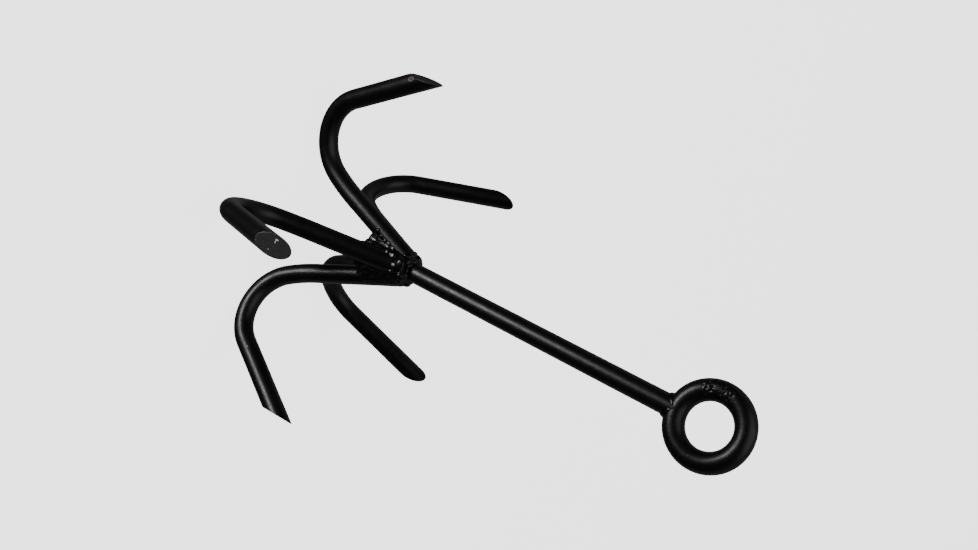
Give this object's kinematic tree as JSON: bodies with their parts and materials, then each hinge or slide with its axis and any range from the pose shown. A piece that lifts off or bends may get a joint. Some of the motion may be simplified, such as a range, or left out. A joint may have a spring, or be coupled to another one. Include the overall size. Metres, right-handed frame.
{
  "type": "grapnel anchor",
  "caption": "Small welded grapnel anchor: round-bar claws splayed from the foot of a straight shank, with a fixed ring at the top.",
  "frame": {"origin": "centre of the ring's eye", "axes": "+Z along the shank towards the ring, +Y along the ring's axis, through its eye"},
  "size_m": [0.215, 0.2066, 0.3176],
  "materials": {
    "black_paint": "semi-gloss black paint over round steel bar",
    "black_paint_weld": "gloss black paint over rippled weld metal"
  },
  "bodies": {
    "root": {"shank": "black_paint", "ring": "black_paint", "ring_weld": "black_paint_weld", "ring_seam_weld": "black_paint_weld", "claw_1": "black_paint", "claw_2": "black_paint", "claw_3": "black_paint", "claw_4": "black_paint", "claw_5": "black_paint", "nose_weld_1": "black_paint_weld", "nose_weld_2": "black_paint_weld", "nose_weld_3": "black_paint_weld", "nose_weld_4": "black_paint_weld", "nose_weld_5": "black_paint_weld", "valley_weld_1": "black_paint_weld", "valley_weld_2": "black_paint_weld", "valley_weld_3": "black_paint_weld", "valley_weld_4": "black_paint_weld", "valley_weld_5": "black_paint_weld"}
  },
  "joints": []
}
